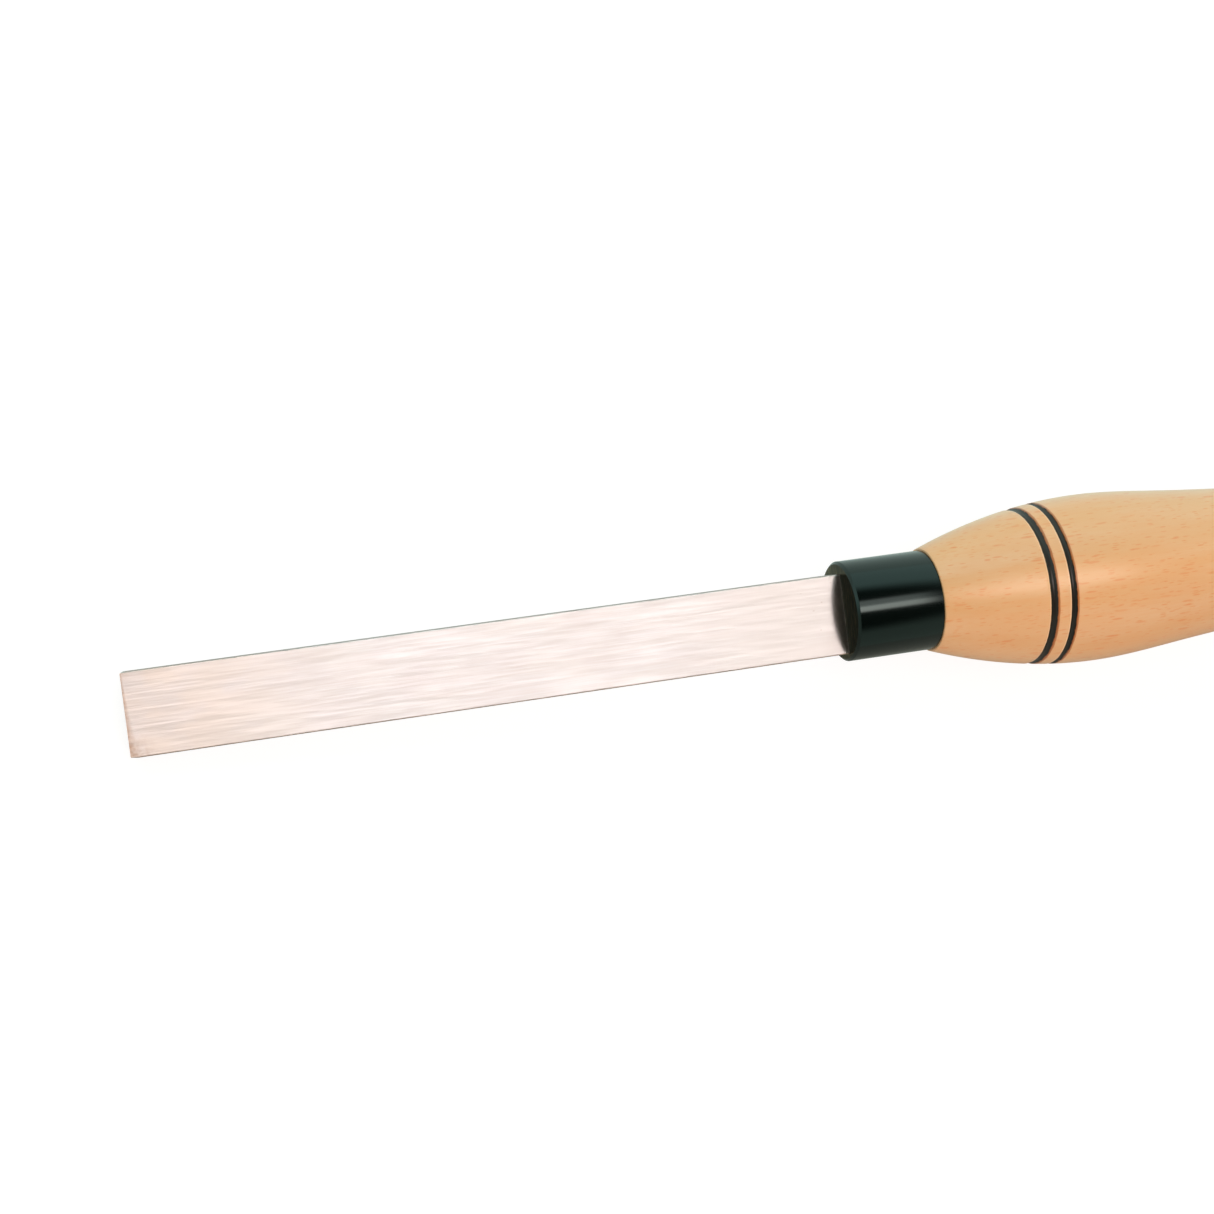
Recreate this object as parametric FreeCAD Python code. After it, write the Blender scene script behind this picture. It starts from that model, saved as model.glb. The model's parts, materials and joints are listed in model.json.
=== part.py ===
import FreeCAD, Part

import math
import os

from FreeCAD import Placement, Rotation, Vector

# A square-ended woodturning scraper: a ground steel bar, a turned cap ferrule and a long turned
# handle. Sizes are in millimetres. The tool is drawn with x along the handle, from the ferrule's
# front face towards the butt, and with z square to the blade's flat. It is then tipped to lie as
# it comes to rest, on the heel of the blade's end and on the handle's bulb.

# Blade: a flat bar ground across its end, with a tapered tang that goes into the handle.
blade_width = 19.0
blade_thickness = 6.35
blade_reach = 169.0
blade_side_offset = -0.56
grind_angle = 78.0
long_edge_radius = 0.3
corner_ease_length = 1.7
corner_ease_depth = 0.25
tang_length = 78.0
tang_root_width = 12.0
tang_root_thickness = 5.2
tang_end_width = 6.0
tang_end_thickness = 3.5

# Ferrule: a cap turned from solid bar, closed at the front but for the tang's slot.
ferrule_diameter = 23.9
ferrule_length = 21.8
ferrule_wall = 2.2
ferrule_front_wall = 3.0
ferrule_chamfer = 0.6
slot_clearance = 0.15

# Handle: distances along it are measured from the shoulder that the ferrule seats on.
# Slopes are rise over run of the turned outline. The butt's dome ends in a small flat, and the
# lean there is how far the dome still runs along the axis for each millimetre towards it.
handle_length = 256.0
lip_diameter = 24.8
lip_slope = 0.36
lip_edge_radius = 0.35
bulb_distance = 42.7
bulb_diameter = 40.7
flank_distance = 63.6
flank_diameter = 37.7
flank_slope = -0.1
waist_distance = 153.0
waist_diameter = 29.2
swell_distance = 222.0
swell_diameter = 33.0
butt_flat_diameter = 9.0
butt_flat_lean = 0.36
spigot_clearance = 0.05
spigot_end_gap = 0.3
socket_clearance = 0.15
socket_end_gap = 2.0

# Two lines cut round the bulb and scorched: distance from the shoulder and width at the surface.
line_cuts = [(25.1, 1.7), (29.9, 1.5)]
line_cut_depth = 0.6

# The handle of a cubic curve that follows a quarter of an oval, as a share of its half axis.
OVAL_SHARE = 4.0 / 3.0 * (math.sqrt(2.0) - 1.0)

AXIS_POINT = Vector(0.0, 0.0, 0.0)
AXIS_DIRECTION = Vector(1.0, 0.0, 0.0)

ferrule_radius = ferrule_diameter / 2.0
ferrule_bore_radius = ferrule_radius - ferrule_wall
spigot_radius = ferrule_bore_radius - spigot_clearance
spigot_front = ferrule_front_wall + spigot_end_gap
shoulder = ferrule_length
butt = shoulder + handle_length
butt_flat_radius = butt_flat_diameter / 2.0
heel_setback = blade_thickness / math.tan(math.radians(grind_angle))


def lip_round():
    """Return the centre of the lip's rounded corner and the corner's length of slope.

    The corner touches the shoulder's flat face and the first, straight stretch of the outline.
    """
    slant = math.hypot(1.0, lip_slope)
    centre_x = shoulder + lip_edge_radius
    centre_radius = lip_diameter / 2.0 + lip_edge_radius * (lip_slope - slant)
    return centre_x, centre_radius, slant


def outline_stations():
    """Return the turned outline's stations: place along the axis, radius and slope."""
    centre_x, centre_radius, slant = lip_round()
    lip_x = centre_x - lip_edge_radius * lip_slope / slant
    lip_radius = centre_radius + lip_edge_radius / slant
    return [
        (lip_x, lip_radius, lip_slope),
        (shoulder + bulb_distance, bulb_diameter / 2.0, 0.0),
        (shoulder + flank_distance, flank_diameter / 2.0, flank_slope),
        (shoulder + waist_distance, waist_diameter / 2.0, 0.0),
        (shoulder + swell_distance, swell_diameter / 2.0, 0.0),
    ]


def span_radii(start, end):
    """Return the four pole radii of the cubic between two stations."""
    third = (end[0] - start[0]) / 3.0
    return [start[1], start[1] + third * start[2], end[1] - third * end[2], end[1]]


def outline_at(x):
    """Return the turned outline's radius and slope at a place along the axis."""
    stations = outline_stations()
    spans = list(zip(stations, stations[1:]))
    start, end = next((span for span in spans if x <= span[1][0]), spans[-1])
    run = end[0] - start[0]
    t = (x - start[0]) / run
    a, b, c, d = span_radii(start, end)
    radius = a * (1 - t) ** 3 + 3 * b * t * (1 - t) ** 2 + 3 * c * t * t * (1 - t) + d * t ** 3
    rise = (b - a) * (1 - t) ** 2 + 2 * (c - b) * t * (1 - t) + (d - c) * t * t
    return radius, 3.0 * rise / run


def point(x, r):
    """Return the point of a turned outline at x along the axis and r away from it."""
    return Vector(x, 0.0, r)


def cubic(poles):
    """Return the edge of a cubic curve through four poles of an outline."""
    curve = Part.BezierCurve()
    curve.setPoles([point(x, r) for x, r in poles])
    return curve.toShape()


def lip_corner():
    """Return the rounded corner of the lip, from the shoulder's face to the outline."""
    centre_x, centre_radius, _ = lip_round()
    lip_x, lip_radius, _ = outline_stations()[0]
    face_angle = math.pi
    outline_angle = math.atan2(lip_radius - centre_radius, lip_x - centre_x)
    middle_angle = (face_angle + outline_angle) / 2.0
    angles = [face_angle, middle_angle, outline_angle]
    touches = [point(centre_x + lip_edge_radius * math.cos(angle),
                     centre_radius + lip_edge_radius * math.sin(angle)) for angle in angles]
    return Part.Arc(*touches).toShape()


def turned(edges):
    """Return the solid that a closed outline of edges sweeps about the axis."""
    face = Part.Face(Part.Wire(edges))
    return face.revolve(AXIS_POINT, AXIS_DIRECTION, 360.0)


def turned_from_corners(corners):
    """Return the solid turned from an outline of straight lines between corners."""
    closed = corners + corners[:1]
    pairs = zip(closed, closed[1:])
    return turned([Part.makeLine(point(*start), point(*end)) for start, end in pairs])


def rectangle(x, width, thickness):
    """Return a rectangular wire square to the axis, centred on it."""
    half_width = width / 2.0
    half_thickness = thickness / 2.0
    corners = [(-half_width, -half_thickness), (half_width, -half_thickness),
               (half_width, half_thickness), (-half_width, half_thickness)]
    return Part.makePolygon([Vector(x, y, z) for y, z in corners + corners[:1]])


def bar():
    """Return the ground bar, from the square end to the shoulder on the ferrule."""
    half_width = blade_width / 2.0
    half_thickness = blade_thickness / 2.0
    tip = -blade_reach
    side = [(tip, half_thickness), (0.0, half_thickness), (0.0, -half_thickness),
            (tip + heel_setback, -half_thickness)]
    side_wire = Part.makePolygon([Vector(x, -half_width, z) for x, z in side + side[:1]])
    ground = Part.Face(side_wire).extrude(Vector(0.0, blade_width, 0.0))
    eased = half_width - corner_ease_depth
    plan = [(tip, -eased), (tip + corner_ease_length, -half_width), (0.0, -half_width),
            (0.0, half_width), (tip + corner_ease_length, half_width), (tip, eased)]
    plan_wire = Part.makePolygon([Vector(x, y, -half_thickness) for x, y in plan + plan[:1]])
    body = ground.common(Part.Face(plan_wire).extrude(Vector(0.0, 0.0, blade_thickness)))
    long_edges = [edge for edge in body.Edges if edge.Length > 0.9 * blade_reach]
    body = body.makeFillet(long_edge_radius, long_edges)
    body.translate(Vector(0.0, blade_side_offset, 0.0))
    return body


def tang_section(x):
    """Return the tang's width and thickness at a place along the axis."""
    share = x / tang_length
    width = tang_root_width + share * (tang_end_width - tang_root_width)
    thickness = tang_root_thickness + share * (tang_end_thickness - tang_root_thickness)
    return width, thickness


def tang():
    """Return the tang, which tapers both ways from the bar's shoulder."""
    root = rectangle(0.0, *tang_section(0.0))
    end = rectangle(tang_length, *tang_section(tang_length))
    return Part.makeLoft([root, end], True, True)


def blade():
    """Return the one-piece blade: the ground bar with its tang."""
    return bar().fuse(tang()).removeSplitter()


def ferrule():
    """Return the cap ferrule, slotted for the tang."""
    cap = turned_from_corners([
        (0.0, 0.0),
        (0.0, ferrule_radius - ferrule_chamfer),
        (ferrule_chamfer, ferrule_radius),
        (ferrule_length, ferrule_radius),
        (ferrule_length, ferrule_bore_radius),
        (ferrule_front_wall, ferrule_bore_radius),
        (ferrule_front_wall, 0.0),
    ])
    slot_width = tang_root_width + 2.0 * slot_clearance
    slot_height = tang_root_thickness + 2.0 * slot_clearance
    corner = Vector(0.0, -slot_width / 2.0, -slot_height / 2.0)
    return cap.cut(Part.makeBox(ferrule_front_wall, slot_width, slot_height, corner))


def dome_poles(x, radius):
    """Return the poles of the butt's dome, from the swell at x to the small flat."""
    fall = OVAL_SHARE * (radius - butt_flat_radius)
    return [(x, radius), (x + OVAL_SHARE * (butt - x), radius),
            (butt - butt_flat_lean * fall, butt_flat_radius + fall), (butt, butt_flat_radius)]


def turned_blank():
    """Return the handle before its lines and socket are cut: spigot, bulb, waist and butt."""
    stations = outline_stations()
    corners = [(butt, butt_flat_radius), (butt, 0.0), (spigot_front, 0.0),
               (spigot_front, spigot_radius), (shoulder, spigot_radius),
               (shoulder, lip_round()[1])]
    edges = [Part.makeLine(point(*start), point(*end)) for start, end in zip(corners, corners[1:])]
    edges.append(lip_corner())
    for start, end in zip(stations, stations[1:]):
        third = (end[0] - start[0]) / 3.0
        places = [start[0], start[0] + third, end[0] - third, end[0]]
        edges.append(cubic(zip(places, span_radii(start, end))))
    edges.append(cubic(dome_poles(*stations[-1][:2])))
    return turned(edges)


def line_cutter(distance, width):
    """Return the ring that cuts one round-bottomed line to its depth and width."""
    x = shoulder + distance
    ring_radius = ((width / 2.0) ** 2 + line_cut_depth ** 2) / (2.0 * line_cut_depth)
    centre_radius = outline_at(x)[0] + ring_radius - line_cut_depth
    return Part.makeTorus(centre_radius, ring_radius, Vector(x, 0.0, 0.0), AXIS_DIRECTION)


def socket_radius(x):
    """Return the radius of the round socket that clears the tang's corners at x."""
    width, thickness = tang_section(x)
    return math.hypot(width, thickness) / 2.0 + socket_clearance


def socket():
    """Return the tapered hole that takes the tang."""
    socket_end = tang_length + socket_end_gap
    return turned_from_corners([
        (spigot_front, 0.0),
        (spigot_front, socket_radius(spigot_front)),
        (socket_end, socket_radius(tang_length)),
        (socket_end, 0.0),
    ])


def handle():
    """Return the turned handle with its scorched lines and its socket."""
    body = turned_blank()
    for distance, width in line_cuts:
        body = body.cut(line_cutter(distance, width))
    return body.cut(socket())


def resting_slope():
    """Return the slope of the line that touches both the blade's heel and the bulb."""
    heel_x = heel_setback - blade_reach
    low = shoulder
    high = shoulder + bulb_distance
    while high - low > 1e-6:
        middle = (low + high) / 2.0
        radius, slope = outline_at(middle)
        rise = radius - blade_thickness / 2.0
        if slope * (middle - heel_x) > rise:
            low = middle
        else:
            high = middle
    return outline_at(high)[1]


def resting_placement(solids):
    """Return the placement that lays the tool on the floor with its box centred on the origin."""
    pitch = math.atan(resting_slope())
    tipped = Placement(Vector(0.0, 0.0, 0.0), Rotation(Vector(0.0, 1.0, 0.0), -math.degrees(pitch)))
    heel = tipped.multVec(Vector(heel_setback - blade_reach, 0.0, -blade_thickness / 2.0))
    whole = Part.makeCompound(solids).copy()
    whole.Placement = tipped
    box = whole.optimalBoundingBox()
    middle_x = (box.XMin + box.XMax) / 2.0
    return Placement(Vector(-middle_x, 0.0, -heel.z), tipped.Rotation)


def main():
    """Build each piece, lay the tool at rest and write one file a piece."""
    pieces = {"blade": blade(), "ferrule": ferrule(), "handle": handle()}
    resting = resting_placement(list(pieces.values()))
    os.makedirs("parts", exist_ok=True)
    for name, solid in pieces.items():
        solid.Placement = resting.multiply(solid.Placement)
        solid.exportStep(f"parts/{name}.step")
        print(f"{name}: {solid.Volume:.0f} cubic mm")
    print(f"pitch at rest: {math.degrees(abs(resting.Rotation.Angle)):.2f} degrees")


main()
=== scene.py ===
"""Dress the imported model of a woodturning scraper.

The tool is one rigid body in three pieces: a ground steel blade, a black cap ferrule and a turned
beech handle with two scorched lines. Each piece is modelled anew in millimetres along the tool's
own axis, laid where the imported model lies, and takes the place of its plain solid.
"""

import json
import logging
import math
from collections.abc import Callable, Iterator
from contextlib import contextmanager
from dataclasses import asdict, dataclass
from enum import Enum

import bmesh
import bpy
from mathutils import Euler, Matrix, Vector

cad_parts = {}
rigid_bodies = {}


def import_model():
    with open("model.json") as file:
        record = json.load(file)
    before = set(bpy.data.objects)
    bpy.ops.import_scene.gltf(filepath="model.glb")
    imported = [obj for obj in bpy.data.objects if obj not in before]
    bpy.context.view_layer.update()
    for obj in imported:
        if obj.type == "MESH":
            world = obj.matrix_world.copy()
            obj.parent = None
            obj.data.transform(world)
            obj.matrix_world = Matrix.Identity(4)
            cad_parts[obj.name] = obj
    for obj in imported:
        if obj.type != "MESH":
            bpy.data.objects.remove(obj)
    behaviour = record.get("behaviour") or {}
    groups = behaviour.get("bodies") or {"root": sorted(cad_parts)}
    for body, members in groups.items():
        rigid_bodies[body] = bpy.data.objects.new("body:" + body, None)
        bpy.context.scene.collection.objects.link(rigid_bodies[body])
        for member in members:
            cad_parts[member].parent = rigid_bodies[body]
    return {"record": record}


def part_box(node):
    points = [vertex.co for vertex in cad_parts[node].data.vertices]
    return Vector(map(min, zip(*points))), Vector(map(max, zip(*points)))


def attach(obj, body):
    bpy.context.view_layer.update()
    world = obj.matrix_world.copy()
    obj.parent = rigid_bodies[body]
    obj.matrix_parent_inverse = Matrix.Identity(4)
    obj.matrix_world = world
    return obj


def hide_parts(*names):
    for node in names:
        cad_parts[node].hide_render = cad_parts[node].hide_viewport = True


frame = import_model()

log = logging.getLogger("scraper")
MM = 0.001
Pair = tuple[float, float]
Triple = tuple[float, float, float]
Colour = Triple
Shares = tuple[float, float, float, float]
Feed = bpy.types.NodeSocket | float | tuple[float, ...]
WHITE = (1.0, 1.0, 1.0)


class Select(Enum):
    """Which elements of a mesh a test picks."""

    POINTS = "VERT"
    EDGES = "EDGE"
    FACES = "FACE"


def choose(piece: bpy.types.Object) -> None:
    """Select one object alone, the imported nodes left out, and make it the active one."""
    for thing in bpy.context.view_layer.objects:
        thing.select_set(False)
    piece.select_set(True)
    bpy.context.view_layer.objects.active = piece


@contextmanager
def editing(piece: bpy.types.Object) -> Iterator[None]:
    """Hold one piece in edit mode, with nothing selected at the start.

    Args:
        piece: The mesh object to edit.
    """
    choose(piece)
    bpy.ops.object.mode_set(mode="EDIT")
    bpy.ops.mesh.select_mode(type=Select.POINTS.value)
    bpy.ops.mesh.select_all(action="DESELECT")
    yield
    bpy.ops.object.mode_set(mode="OBJECT")


def pick(piece: bpy.types.Object, kind: Select, test: Callable[[Vector, Vector], bool]) -> None:
    """Select the elements of an edited mesh that pass a test, and nothing else.

    Args:
        piece: The mesh object in edit mode.
        kind: Whether points, edges or faces are tested.
        test: Takes an element's middle, in millimetres, and its direction: a face's normal, an
            edge's run, or a point's own normal.
    """
    bpy.ops.mesh.select_all(action="DESELECT")
    bpy.ops.mesh.select_mode(type=kind.value)
    mesh = bmesh.from_edit_mesh(piece.data)
    if kind is Select.POINTS:
        found = [(point, point.co, point.normal) for point in mesh.verts]
    elif kind is Select.EDGES:
        ends = [(edge, edge.verts[0].co, edge.verts[1].co) for edge in mesh.edges]
        found = [(edge, (start + end) / 2, end - start) for edge, start, end in ends]
    else:
        found = [(face, face.calc_center_median(), face.normal) for face in mesh.faces]
    for element, middle, direction in found:
        if test(middle / MM, direction.normalized()):
            element.select_set(True)
    mesh.select_flush_mode()
    bmesh.update_edit_mesh(piece.data)


def add_block(name: str, middle: float, size: Triple) -> bpy.types.Object:
    """Add a block on the axis.

    Args:
        name: Its name.
        middle: Where its middle is along the axis, in millimetres.
        size: Its length, width and height, in millimetres.

    Returns:
        The block.
    """
    bpy.ops.mesh.primitive_cube_add(
        size=1.0, location=(middle * MM, 0.0, 0.0), scale=[side * MM for side in size])
    piece = bpy.context.object
    piece.name = name
    bpy.ops.object.transform_apply(location=True, rotation=False, scale=True)
    return piece


@dataclass(frozen=True)
class Lie:
    """How the tool lies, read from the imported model.

    Attributes:
        pitch: How far the axis climbs from the tip to the butt, in radians.
        origin: The middle of the ferrule's front face, in metres.
    """

    pitch: float
    origin: Vector

    @classmethod
    def read(cls, record: dict, ferrule_length: float) -> "Lie":
        """Work the lie out from the blade's flat underside and the ferrule's box.

        Args:
            record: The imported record.
            ferrule_length: The ferrule's length in millimetres.

        Returns:
            The tool's lie.
        """
        mount = next(mount for mount in record["mounts"] if mount["name"] == "blade_underside")
        down = Vector(mount["axis"])
        pitch = math.atan2(down.x, -down.z)
        low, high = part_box("ferrule")
        along = Vector((math.cos(pitch), 0.0, math.sin(pitch)))
        return cls(pitch, (low + high) / 2 - along * (ferrule_length * MM / 2))

    def place(self, piece: bpy.types.Object) -> None:
        """Lay a piece that was modelled along the axis where the tool lies, in its mesh."""
        choose(piece)
        piece.matrix_world = Matrix.Translation(self.origin) @ Matrix.Rotation(-self.pitch, 4, "Y")
        bpy.ops.object.transform_apply(location=True, rotation=True, scale=True)

    def unplaced(self) -> tuple[Vector, Euler]:
        """Return the shift, in millimetres, and turn from the model back to the tool's axis."""
        turn = Matrix.Rotation(self.pitch, 3, "Y")
        return -(turn @ self.origin) / MM, Euler((0.0, self.pitch, 0.0))


class Sheet:
    """A node tree that is being laid out."""

    def __init__(self, tree: bpy.types.NodeTree) -> None:
        """Start from an empty tree."""
        self.tree = tree
        tree.nodes.clear()

    def feed(self, target: bpy.types.NodeSocket, source: Feed) -> None:
        """Link a socket to another, or set its value."""
        if isinstance(source, bpy.types.NodeSocket):
            self.tree.links.new(source, target)
        elif isinstance(source, tuple) and target.type == "RGBA":
            target.default_value = (*source, 1.0)
        else:
            target.default_value = source

    def wire(self, node: bpy.types.Node, inputs: dict[str | int, Feed]) -> None:
        """Feed a node's inputs, by name or by number."""
        for name, source in inputs.items():
            self.feed(node.inputs[name], source)

    def add(self, kind: str, inputs: dict[str | int, Feed] | None = None,
            **settings: object) -> bpy.types.Node:
        """Add a node.

        Args:
            kind: Its type.
            inputs: What its inputs are fed, by name or by number.
            settings: Its options.

        Returns:
            The node.
        """
        node = self.tree.nodes.new(kind)
        for name, value in settings.items():
            setattr(node, name, value)
        self.wire(node, inputs or {})
        return node

    def math(self, operation: str, *values: Feed) -> bpy.types.NodeSocket:
        """Return the result of a sum on values."""
        node = self.add("ShaderNodeMath", dict(enumerate(values)), operation=operation)
        return node.outputs["Value"]

    def times(self, first: Feed, second: Feed) -> bpy.types.NodeSocket:
        """Return one value times another."""
        return self.math("MULTIPLY", first, second)

    def distance(self, first: Feed, second: Feed) -> bpy.types.NodeSocket:
        """Return how far off the corner of two legs is."""
        squares = self.math("ADD", self.times(first, first), self.times(second, second))
        return self.math("SQRT", squares)

    def split(self, vector: Feed) -> list[bpy.types.NodeSocket]:
        """Return the three parts of a vector."""
        return list(self.add("ShaderNodeSeparateXYZ", {"Vector": vector}).outputs)

    def ramp(self, value: Feed, low: tuple[Feed, Feed], high: tuple[Feed, Feed],
             smooth: bool = True) -> bpy.types.NodeSocket:
        """Return a value led from one level to another.

        Args:
            value: What is read.
            low: The reading at the start, and the level there.
            high: The reading at the end, and the level there.
            smooth: Whether the ends are eased.

        Returns:
            The level, held beyond both ends.
        """
        given = {"Value": value, "From Min": low[0], "From Max": high[0],
                 "To Min": low[1], "To Max": high[1]}
        kind = "SMOOTHSTEP" if smooth else "LINEAR"
        return self.add("ShaderNodeMapRange", given, interpolation_type=kind).outputs["Result"]

    def mix(self, share: Feed, first: Feed, second: Feed) -> bpy.types.NodeSocket:
        """Return two colours mixed, with the share of the second."""
        node = self.add("ShaderNodeMix", {"Factor": share}, data_type="RGBA")
        colours = [socket for socket in node.inputs if socket.type == "RGBA"]
        self.feed(colours[0], first)
        self.feed(colours[1], second)
        return next(socket for socket in node.outputs if socket.type == "RGBA")

    def layer(self, colour: Feed, *layers: tuple[Feed, float, Colour]) -> Feed:
        """Return a colour with others laid over it, each by its mask times a share."""
        for mask, share, over in layers:
            colour = self.mix(self.times(mask, share), colour, over)
        return colour

    def call(self, group: bpy.types.NodeTree, **inputs: Feed) -> bpy.types.NodeSocket:
        """Place a node group.

        Args:
            group: The group.
            inputs: What its inputs are fed, with underscores for spaces.

        Returns:
            The group's mask.
        """
        given = {name.replace("_", " ").title(): value for name, value in inputs.items()}
        return self.add("ShaderNodeGroup", given, node_tree=group).outputs["Mask"]


@dataclass(frozen=True)
class Streaks:
    """Soft noise that is stretched along the tool, from long streaks to blotches.

    Attributes:
        length: Size along the tool, in millimetres.
        width: Size across it.
        depth: Size upwards.
        detail: How fine the noise goes.
        low: The noise's level where the mask is 0.
        high: The noise's level where the mask is 1.
    """

    length: float
    width: float
    depth: float
    detail: float = 3.0
    low: float = 0.3
    high: float = 0.7


@dataclass(frozen=True)
class Flecks:
    """Scattered small marks, each an oval in a cell of its own and no two alike.

    Attributes:
        length: Size of a cell along the tool, in millimetres.
        width: Its size across.
        depth: Its size upwards.
        size: The largest oval's radius, as a share of its cell.
        share: The share of the cells that have a mark.
    """

    length: float
    width: float
    depth: float
    size: float
    share: float


class Effects:
    """The shader groups that the finishes share, each with a mask as its output."""

    def __init__(self) -> None:
        """Build each group once."""
        self.streaks = self.build_streaks()
        self.flecks = self.build_flecks()
        self.band = self.build_band()

    def mask(self, sheet: Sheet, place: Feed, marks: Streaks | Flecks) -> bpy.types.NodeSocket:
        """Return the mask of some marks at a place on the tool."""
        group = self.streaks if isinstance(marks, Streaks) else self.flecks
        return sheet.call(group, vector=place, **asdict(marks))

    @staticmethod
    def start(name: str, *readings: str) -> tuple[Sheet, dict, bpy.types.NodeSocket]:
        """Make a group with its sockets.

        Args:
            name: The group's name.
            readings: The names of its inputs, of which "Vector" is one with three parts.

        Returns:
            The group's sheet, its inputs by name and the socket of its mask.
        """
        tree = bpy.data.node_groups.new(name, "ShaderNodeTree")
        for reading in readings:
            kind = "NodeSocketVector" if reading == "Vector" else "NodeSocketFloat"
            tree.interface.new_socket(reading, in_out="INPUT", socket_type=kind)
        tree.interface.new_socket("Mask", in_out="OUTPUT", socket_type="NodeSocketFloat")
        sheet = Sheet(tree)
        given = sheet.add("NodeGroupInput").outputs
        return sheet, given, sheet.add("NodeGroupOutput").inputs["Mask"]

    @staticmethod
    def stretched(sheet: Sheet, given: dict) -> bpy.types.NodeSocket:
        """Return a group's vector, measured in its length, width and depth."""
        sizes = sheet.add("ShaderNodeCombineXYZ", {
            "X": given["Length"], "Y": given["Width"], "Z": given["Depth"]})
        return sheet.add("ShaderNodeVectorMath", {0: given["Vector"], 1: sizes.outputs["Vector"]},
                         operation="DIVIDE").outputs["Vector"]

    def build_streaks(self) -> bpy.types.NodeTree:
        """Build the group for streaks."""
        sheet, given, mask = self.start("streaks", "Vector", "Length", "Width", "Depth",
                                        "Detail", "Low", "High")
        noise = sheet.add("ShaderNodeTexNoise", {
            "Vector": self.stretched(sheet, given), "Scale": 1.0, "Detail": given["Detail"],
        }, noise_dimensions="3D")
        level = sheet.ramp(noise.outputs["Fac"], (given["Low"], 0.0), (given["High"], 1.0))
        sheet.feed(mask, level)
        return sheet.tree

    def build_flecks(self) -> bpy.types.NodeTree:
        """Build the group for flecks, with a size, a chance and a strength for each cell."""
        sheet, given, mask = self.start("flecks", "Vector", "Length", "Width", "Depth",
                                        "Size", "Share")
        cells = sheet.add("ShaderNodeTexVoronoi", {
            "Vector": self.stretched(sheet, given), "Scale": 1.0,
        }, voronoi_dimensions="3D", feature="F1")
        chance = sheet.add("ShaderNodeSeparateColor", {"Color": cells.outputs["Color"]}).outputs
        size = sheet.ramp(chance["Red"], (0.0, 0.5), (1.0, 1.0), smooth=False)
        inside = sheet.math("DIVIDE", cells.outputs["Distance"], sheet.times(given["Size"], size))
        oval = sheet.ramp(inside, (0.5, 1.0), (1.0, 0.0))
        kept = sheet.math("LESS_THAN", chance["Green"], given["Share"])
        strength = sheet.ramp(chance["Blue"], (0.0, 0.35), (1.0, 1.0), smooth=False)
        sheet.feed(mask, sheet.times(sheet.times(oval, kept), strength))
        return sheet.tree

    def build_band(self) -> bpy.types.NodeTree:
        """Build a soft-edged band round one reading, such as a place along the tool."""
        sheet, given, mask = self.start("band", "Reading", "Middle", "Half Width", "Softness")
        away = sheet.math("ABSOLUTE", sheet.math("SUBTRACT", given["Reading"], given["Middle"]))
        inner, outer = (sheet.math(operation, given["Half Width"], given["Softness"])
                        for operation in ("SUBTRACT", "ADD"))
        sheet.feed(mask, sheet.ramp(away, (inner, 1.0), (outer, 0.0)))
        return sheet.tree


@dataclass(frozen=True)
class Finish:
    """A surface finish, read along the tool's own axis in millimetres.

    Attributes:
        effects: The shared shader groups.
        lie: How the tool lies.
    """

    effects: Effects
    lie: Lie

    def start(self, name: str) -> tuple[bpy.types.Material, Sheet, bpy.types.Node]:
        """Make a material with its shader.

        Args:
            name: The material's name.

        Returns:
            The material, its sheet and its shader node.
        """
        material = bpy.data.materials.new(name)
        material.use_nodes = True
        sheet = Sheet(material.node_tree)
        shader = sheet.add("ShaderNodeBsdfPrincipled")
        out = sheet.add("ShaderNodeOutputMaterial")
        sheet.feed(out.inputs["Surface"], shader.outputs["BSDF"])
        return material, sheet, shader

    def places(self, sheet: Sheet) -> tuple[bpy.types.NodeSocket, list[bpy.types.NodeSocket]]:
        """Add the reading of places on the tool.

        Args:
            sheet: The material's sheet.

        Returns:
            The place as a vector, and its parts along, across and up.
        """
        shift, turn = self.lie.unplaced()
        mapping = sheet.add("ShaderNodeMapping", {
            "Vector": sheet.add("ShaderNodeTexCoord").outputs["Object"],
            "Location": shift, "Rotation": turn, "Scale": (1 / MM, 1 / MM, 1 / MM),
        }, vector_type="POINT")
        place = mapping.outputs["Vector"]
        return place, sheet.split(place)

    @staticmethod
    def raise_by(sheet: Sheet, shader: bpy.types.Node, height: Feed, depth: float,
                 strength: float) -> None:
        """Let a mask raise the surface.

        Args:
            sheet: The material's sheet.
            shader: The shader whose normal is bent.
            height: The mask, 1 at its highest.
            depth: How high 1 stands, in millimetres.
            strength: How much of the effect is kept.
        """
        bump = sheet.add("ShaderNodeBump", {
            "Strength": strength, "Distance": depth * MM, "Height": height})
        sheet.feed(shader.inputs["Normal"], bump.outputs["Normal"])


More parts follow.
